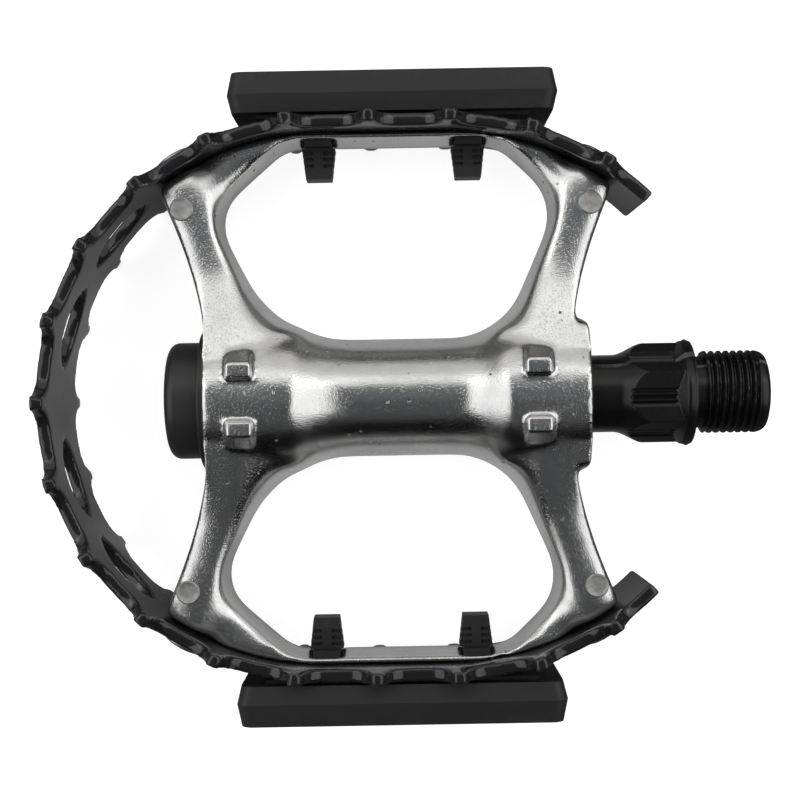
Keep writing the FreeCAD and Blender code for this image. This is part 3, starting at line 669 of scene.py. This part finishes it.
# %% [markdown]
# ## The spindle
# Its outside is round nearly everywhere, so functions of the place along the axis and the angle about it give
# the whole surface: plain runs, a flange, a hexagon with milled flats and grooves, and a thread. A sweep of
# rings through them is one closed mesh, and the thread is a real helix, left-hand as on a left pedal.

# %% Sizes of the spindle in millimetres
# A name that ends in X is a place along the axis, one in R a radius, and one in RUN a length along the axis.
THREAD_R, THREAD_PITCH, THREAD_DEPTH, CREST_X = 7.1, 1.27, 0.75, 0.61
THREAD_START, THREAD_END, TIP_X, TIP_R = 0.5, 9.0, 11.0, 6.0
# The thread's root and flank as shares of a turn, then how it runs in and out.
ROOT, FLANK = 0.08, 0.32
LEAD, LEAD_RUN, FADE_RUN = 0.2, 0.6, 1.2
RELIEF_R, SHOULDER_X = 6.15, -1.8
FLANGE_R, FLANGE_EDGE, FLANGE_DROP, FLANGE_X, CONE_RUN = 9.2, 0.8, 0.3, -3.05, 1.8
FLAT_R, CROWN_R, CROWN_RUN = 7.5, 8.7, 5.8
HEX_X, NECK_X, NECK_R = -12.8, -15.0, 6.65
HEX_TURN, HEX_SIDE = math.radians(-5.5), math.pi / 3
GROOVES, GROOVE_WIDTH, GROOVE_DEPTH = (-1.12, 0.0, 1.12), 0.5, 0.4
GROOVE_RUN, GROOVE_PAST, GROOVE_FLANK = 0.4, 0.3, 1.5
COLLAR_X, COLLAR_R = -22.5, 7.8
RACE_X, RACE_CIRCLE_R, RACE_R = -27.2, 7.6, 2.034
WAIST_X, WAIST_R, END_R = -37.2, 4.9, 4.0
CONE_NOSE_X, SPINDLE_END_X, END_EDGE = -73.6, -86.0, 0.6
print("thread turns:", round((THREAD_END - THREAD_START) / THREAD_PITCH, 1))


# %% Radius of each run
def ease(t):
    """step_up for one number, from 0 to 1."""
    t = min(max(t, 0.0), 1.0)
    return t * t * (3 - 2 * t)


def plain(radius):
    """A cylinder."""
    return lambda x, angle: radius


def cone(first, last, x0, x1):
    """A cone between two places."""
    return lambda x, angle: first + (last - first) * (x - x0) / (x1 - x0)


def thread_radius(x, angle):
    """A helical groove with sloped flanks that fades in at the relief and out at the tip."""
    turn = ((x - CREST_X) / THREAD_PITCH - angle / math.tau) % 1.0
    flank = min(max((abs(turn - 0.5) - ROOT) / FLANK, 0.0), 1.0)
    fade = ease((THREAD_END + FADE_RUN / 2 - x) / FADE_RUN) * ease((x - THREAD_START + LEAD) / LEAD_RUN)
    return THREAD_R - THREAD_DEPTH * (1 - flank) * fade


def tip_radius(x, angle):
    """The domed end of the thread."""
    t = max((x - THREAD_END) / (TIP_X - THREAD_END), 0.0)
    dome = TIP_R + (THREAD_R - TIP_R) * math.sqrt(max(1 - t**2, 0.0))
    return min(dome, thread_radius(x, angle))


def hexagon_radius(x, angle):
    """Flats with three grooves each, a round crown that makes petals of them, and the flange's cone."""
    away = (angle - HEX_TURN + HEX_SIDE / 2) % HEX_SIDE - HEX_SIDE / 2
    flat = FLAT_R / math.cos(away)
    across = FLAT_R * math.tan(away)
    inside = ease((x - HEX_X) / GROOVE_RUN) * ease((FLANGE_X - CONE_RUN + GROOVE_PAST - x) / GROOVE_RUN)
    for middle in GROOVES:
        gone = abs(across - middle) / (GROOVE_WIDTH / 2)
        flat -= GROOVE_DEPTH * inside * ease(GROOVE_FLANK - gone)
    crown = NECK_R + (CROWN_R - NECK_R) * ease((x - NECK_X) / CROWN_RUN)
    rising = FLAT_R + (FLANGE_R - FLAT_R) * (x - FLANGE_X + CONE_RUN) / CONE_RUN
    return max(min(flat, crown), min(rising, FLANGE_R - FLANGE_DROP))


def flange_radius(x, angle):
    """A disc with rounded edges."""
    near = min(x - FLANGE_X, SHOULDER_X - x)
    return FLANGE_R - FLANGE_DROP * (1 - ease(near / FLANGE_EDGE))


def race_radius(x, angle):
    """The round groove that the inboard balls run in."""
    return RACE_CIRCLE_R - math.sqrt(max(RACE_R**2 - (x - RACE_X) ** 2, 0.0))


print("flange and hexagon in mm across:", 2 * FLANGE_R, 2 * FLAT_R)

# %% The spindle as rings
ROUND, SHARP_FROM, SAME_SPOT = 180, math.radians(40), 1e-7
race_bottom = RACE_CIRCLE_R - RACE_R
race_end_x = RACE_X + RACE_R
nut_end_x = SPINDLE_END_X + END_EDGE
# From, to, steps between rings, and radius.
runs = [
    (SPINDLE_END_X, nut_end_x, 2, cone(END_R - END_EDGE, END_R, SPINDLE_END_X, nut_end_x)),
    (nut_end_x, CONE_NOSE_X, 2, plain(END_R)),
    (CONE_NOSE_X, WAIST_X, 3, cone(WAIST_R, race_bottom, CONE_NOSE_X, WAIST_X)),
    (WAIST_X, RACE_X, 3, plain(race_bottom)),
    (RACE_X, race_end_x, 60, race_radius),
    (race_end_x, COLLAR_X, 2, plain(COLLAR_R)),
    (COLLAR_X, NECK_X, 4, plain(NECK_R)),
    (NECK_X, FLANGE_X, 64, hexagon_radius),
    (FLANGE_X, SHOULDER_X, 20, flange_radius),
    (SHOULDER_X, THREAD_START, 4, plain(RELIEF_R)),
    (THREAD_START, THREAD_END, 150, thread_radius),
    (THREAD_END, TIP_X, 16, tip_radius),
]


def swept(name, runs, segments):
    """One closed piece of rings about the X axis."""
    mesh = bmesh.new()
    rings = []
    for x0, x1, steps, radius in runs:
        for step in range(steps + 1):
            x = x0 + (x1 - x0) * step / steps
            ring = []
            for i in range(segments):
                angle = math.tau * i / segments
                r = radius(x, angle)
                ring.append(mesh.verts.new((x * MM, r * math.sin(angle) * MM, r * math.cos(angle) * MM)))
            rings.append(ring)
    for left, right in zip(rings, rings[1:]):
        for i in range(segments):
            j = (i + 1) % segments
            mesh.faces.new((left[i], left[j], right[j], right[i]))
    mesh.faces.new(list(reversed(rings[0])))
    mesh.faces.new(rings[-1])
    bmesh.ops.remove_doubles(mesh, verts=mesh.verts, dist=SAME_SPOT)
    bmesh.ops.recalc_face_normals(mesh, faces=mesh.faces)
    return smooth_piece(name, mesh)


spindle = swept("threaded_spindle", runs, ROUND)
spindle.data.materials.append(black_steel)
spindle.data.set_sharp_from_angle(angle=SHARP_FROM)
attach(spindle, "axle")
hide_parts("spindle")
print("triangles in the spindle:", triangles(spindle))

# %% [markdown]
# ## The table
# The photograph looks straight down on a white table. Lit only by soft boxes the table would take on their
# falloff, so the sheet also glows by itself and stays plain. It is kept out of reflections.

# %% The floor
FLOOR_Z, SHEET = cad_low.z, 8.0
pale = Finish("pale_table")
pale_floor = pale.set(
    Base_Color=pale.noise(40.0).between(grey(0.42), grey(0.45)),
    Roughness=0.8,
    Emission_Color=grey(1.0),
    Emission_Strength=0.78,
)
bpy.ops.mesh.primitive_plane_add(size=SHEET, location=(0, 0, FLOOR_Z))
floor = bpy.context.object
floor.name = "table"
floor.data.materials.append(pale_floor)
floor.visible_glossy = False
print("floor at", round(FLOOR_Z / MM, 2), "mm")

# %% [markdown]
# ## What the metal mirrors
# Polished metal would mirror that white table from below and lose its shape. A photographer lifts the pedal
# and shades the table round it. Here a second sheet in the same place shows only in reflections. It is dark,
# lighter below the middle of the pedal, and patchy outboard of it, where the cage's nose mirrors it.

# %% The shaded table that the metal sees
MIDDLE = Vector((-50.7 * MM, 0, 0))
# How far from the middle the light spot ends, and where along X the patches end, in millimetres.
SPOT_EDGE, NOSE_EDGE = (30, 56), (-52, -40)
DARK_LEVEL, SPOT_LEVEL, NOSE_LEVEL, PATCH_LEVEL = 0.06, 0.32, 0.08, 0.16
NOSE_PATCH_SIZE, NOSE_PATCH_STRETCH = 9.0, (1.0, 0.35, 1.0)
shade = Finish("shaded_table")
shade_away = shade.flow.node("ShaderNodeVectorMath", {"operation": "LENGTH"}, {0: shade.place}, "Value")
shade_x = shade.flow.node("ShaderNodeSeparateXYZ", {}, {"Vector": shade.place}, "X")
shade_spot = 1 - shade_away.rise(*SPOT_EDGE)
shade_nose = 1 - shade_x.rise(*NOSE_EDGE)
shade_patch = shade.noise(NOSE_PATCH_SIZE, 3.0, NOSE_PATCH_STRETCH).rise(0.3, 0.7)
shade_level = DARK_LEVEL + SPOT_LEVEL * shade_spot + (NOSE_LEVEL + PATCH_LEVEL * shade_patch) * shade_nose
shaded_table = shade.set(
    Base_Color=grey(0.0),
    Roughness=1.0,
    Emission_Color=shade_level.between(grey(0.0), grey(1.0)),
    Emission_Strength=1.0,
)
bpy.ops.mesh.primitive_plane_add(size=SHEET, location=(MIDDLE.x, MIDDLE.y, FLOOR_Z))
mirrored = bpy.context.object
mirrored.name = "table_in_reflections"
mirrored.data.materials.append(shaded_table)
mirrored.visible_camera = False
mirrored.visible_diffuse = False
mirrored.visible_shadow = False
print("finishes in all:", len(bpy.data.materials))

# %% [markdown]
# ## Soft light
# Two long soft boxes stand before the front side of the pedal, a bright one over a dimmer one, and one more
# stands at each end. Overhead and towards the rear hang two weak cards, so round metal shows a bright front
# flank and a dark rear one. The room adds even light that isn't mirrored.

# %% Soft boxes
# Place from the pedal's middle, width and height in metres, how bright it looks, and its tint.
SOFT_BOXES = {
    "front_upper_box": ((0, 0.50, 0.69), 2.2, 0.30, 1.15, (1.0, 0.995, 0.98)),
    "front_lower_box": ((0, 0.76, 0.39), 2.2, 0.50, 0.62, (1.0, 0.99, 0.96)),
    "outboard_box": ((-0.62, 0.0, 0.52), 0.9, 0.78, 1.15, (1, 1, 1)),
    "inboard_box": ((0.62, 0.0, 0.52), 0.9, 0.78, 1.15, (1, 1, 1)),
    "overhead_card": ((0, 0.16, 0.9), 0.6, 0.45, 0.11, (0.86, 0.93, 1.0)),
    "rear_card": ((0, -0.40, 0.80), 0.6, 0.75, 0.06, (0.92, 0.96, 1.0)),
}
for name, (place, width, height, level, tint) in SOFT_BOXES.items():
    light = bpy.data.lights.new(name, "AREA")
    light.shape = "RECTANGLE"
    light.size = width
    light.size_y = height
    light.energy = level * math.pi * width * height
    light.color = tint
    lamp = linked(name, light)
    lamp.location = MIDDLE + Vector(place)
    lamp.rotation_euler = (-Vector(place)).to_track_quat("-Z", "Y").to_euler()
    lamp.visible_camera = False
print("soft boxes and cards:", len(SOFT_BOXES))

# %% The pale room
world = bpy.data.worlds.new("pale_room")
world.use_nodes = True
background = world.node_tree.nodes["Background"]
background.inputs["Color"].default_value = grey(1.0)
background.inputs["Strength"].default_value = 0.75
world.cycles_visibility.glossy = False
bpy.context.scene.world = world
bpy.context.scene.view_settings.view_transform = "Standard"
print("room light:", background.inputs["Strength"].default_value)

# %% [markdown]
# ## The camera
# It looks straight down from so near that the upper teeth look larger than the lower ones. Its lens follows
# from how wide the view is at the spindle's axis, and it is rolled by one degree, as the pedal lies in the
# photograph.

# %% The camera
CAMERA_X, CAMERA_Y, CAMERA_Z = -51.56, -0.48, 243.5
VIEW_WIDTH, ROLL, SENSOR, NEAREST = 138.24, -1.0, 36.0, 10.0
lens_data = bpy.data.cameras.new("camera")
lens_data.sensor_width = SENSOR
lens_data.lens = SENSOR * CAMERA_Z / VIEW_WIDTH
lens_data.clip_start = NEAREST * MM
camera = linked("camera", lens_data)
camera.location = (CAMERA_X * MM, CAMERA_Y * MM, CAMERA_Z * MM)
camera.rotation_euler = (0, 0, math.radians(ROLL))
bpy.context.scene.camera = camera
print("lens in mm:", round(lens_data.lens, 1))
